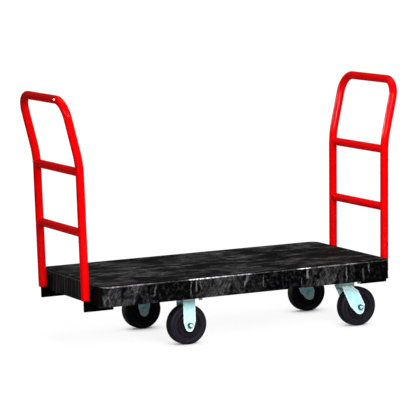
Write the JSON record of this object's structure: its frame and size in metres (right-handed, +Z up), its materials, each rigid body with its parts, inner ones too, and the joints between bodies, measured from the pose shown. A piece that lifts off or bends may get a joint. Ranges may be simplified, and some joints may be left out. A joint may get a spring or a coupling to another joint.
{
  "type": "flatbed platform truck",
  "caption": "Flatbed platform truck: black moulded deck on steel rails, a red tube handle with cross rungs at each end, rigid casters and trailing swivel casters under the deck.",
  "frame": {"origin": "on the floor, under the middle of the truck", "axes": "+X along the length, from the rigid casters to the swivel casters; +Y across the deck, away from the viewed side; +Z up"},
  "size_m": [1.4316, 0.615, 0.9621],
  "materials": {
    "deck_plastic": "satin black structural foam with grey swirl marks",
    "handle_paint": "bright red gloss powder coat",
    "bracket_paint": "black satin powder coat",
    "zinc_steel": "bright zinc plate with a blue-green tint",
    "galvanised_steel": "galvanised sheet",
    "fastener_steel": "zinc-plated fasteners",
    "bearing_steel": "polished bearing steel",
    "tyre_rubber": "smooth black rubber with fine turned rings",
    "core_plastic": "black moulded plastic"
  },
  "bodies": {
    "chassis": {"bracket_bolts": "fastener_steel", "bracket_left_far": "bracket_paint", "bracket_left_near": "bracket_paint", "bracket_nuts": "fastener_steel", "bracket_right_far": "bracket_paint", "bracket_right_near": "bracket_paint", "caster_bolts": "fastener_steel", "caster_nuts": "fastener_steel", "crossbar_rigid": "galvanised_steel", "crossbar_swivel": "galvanised_steel", "deck_rail_far": "galvanised_steel", "deck_rail_near": "galvanised_steel", "deck_ribs": "deck_plastic", "deck_shell": "deck_plastic", "handle_left": "handle_paint", "handle_lock_bolts": "fastener_steel", "handle_right": "handle_paint", "kingpin_far": "fastener_steel", "kingpin_near": "fastener_steel", "kingpin_nut_far": "fastener_steel", "kingpin_nut_near": "fastener_steel", "rigid_axle_bolts": "fastener_steel", "rigid_axle_nuts": "fastener_steel", "rigid_axle_sleeves": "bearing_steel", "rigid_fork_far": "zinc_steel", "rigid_fork_near": "zinc_steel", "rigid_plate_far": "zinc_steel", "rigid_plate_near": "zinc_steel", "rung_left_lower": "handle_paint", "rung_left_upper": "handle_paint", "rung_right_lower": "handle_paint", "rung_right_upper": "handle_paint", "swivel_plate_far": "zinc_steel", "swivel_plate_near": "zinc_steel", "swivel_race_far": "zinc_steel", "swivel_race_near": "zinc_steel"},
    "rigid_wheel_near": {"rigid_tyre_near": "tyre_rubber", "rigid_core_near": "core_plastic", "rigid_bearing_near": "bearing_steel"},
    "swivel_yoke_near": {"swivel_fork_near": "zinc_steel", "swivel_balls_near": "bearing_steel", "swivel_axle_bolt_near": "fastener_steel", "swivel_axle_nut_near": "fastener_steel", "swivel_axle_sleeve_near": "bearing_steel"},
    "swivel_wheel_near": {"swivel_tyre_near": "tyre_rubber", "swivel_core_near": "core_plastic", "swivel_bearing_near": "bearing_steel"},
    "rigid_wheel_far": {"rigid_tyre_far": "tyre_rubber", "rigid_core_far": "core_plastic", "rigid_bearing_far": "bearing_steel"},
    "swivel_yoke_far": {"swivel_fork_far": "zinc_steel", "swivel_balls_far": "bearing_steel", "swivel_axle_bolt_far": "fastener_steel", "swivel_axle_nut_far": "fastener_steel", "swivel_axle_sleeve_far": "bearing_steel"},
    "swivel_wheel_far": {"swivel_tyre_far": "tyre_rubber", "swivel_core_far": "core_plastic", "swivel_bearing_far": "bearing_steel"}
  },
  "joints": [
    {"name": "rigid_wheel_near_spin", "type": "hinge", "parent": "chassis", "child": "rigid_wheel_near", "pos_m": [-0.2258, -0.2032, 0.0762], "axis": [0, 1, 0], "continuous": true},
    {"name": "swivel_near_turn", "type": "hinge", "parent": "chassis", "child": "swivel_yoke_near", "pos_m": [0.458, -0.2032, 0.16], "axis": [0, 0, 1], "continuous": true},
    {"name": "swivel_wheel_near_spin", "type": "hinge", "parent": "swivel_yoke_near", "child": "swivel_wheel_near", "pos_m": [0.508, -0.2032, 0.0762], "axis": [0, 1, 0], "continuous": true},
    {"name": "rigid_wheel_far_spin", "type": "hinge", "parent": "chassis", "child": "rigid_wheel_far", "pos_m": [-0.2258, 0.2032, 0.0762], "axis": [0, 1, 0], "continuous": true},
    {"name": "swivel_far_turn", "type": "hinge", "parent": "chassis", "child": "swivel_yoke_far", "pos_m": [0.458, 0.2032, 0.16], "axis": [0, 0, 1], "continuous": true},
    {"name": "swivel_wheel_far_spin", "type": "hinge", "parent": "swivel_yoke_far", "child": "swivel_wheel_far", "pos_m": [0.508, 0.2032, 0.0762], "axis": [0, 1, 0], "continuous": true}
  ]
}
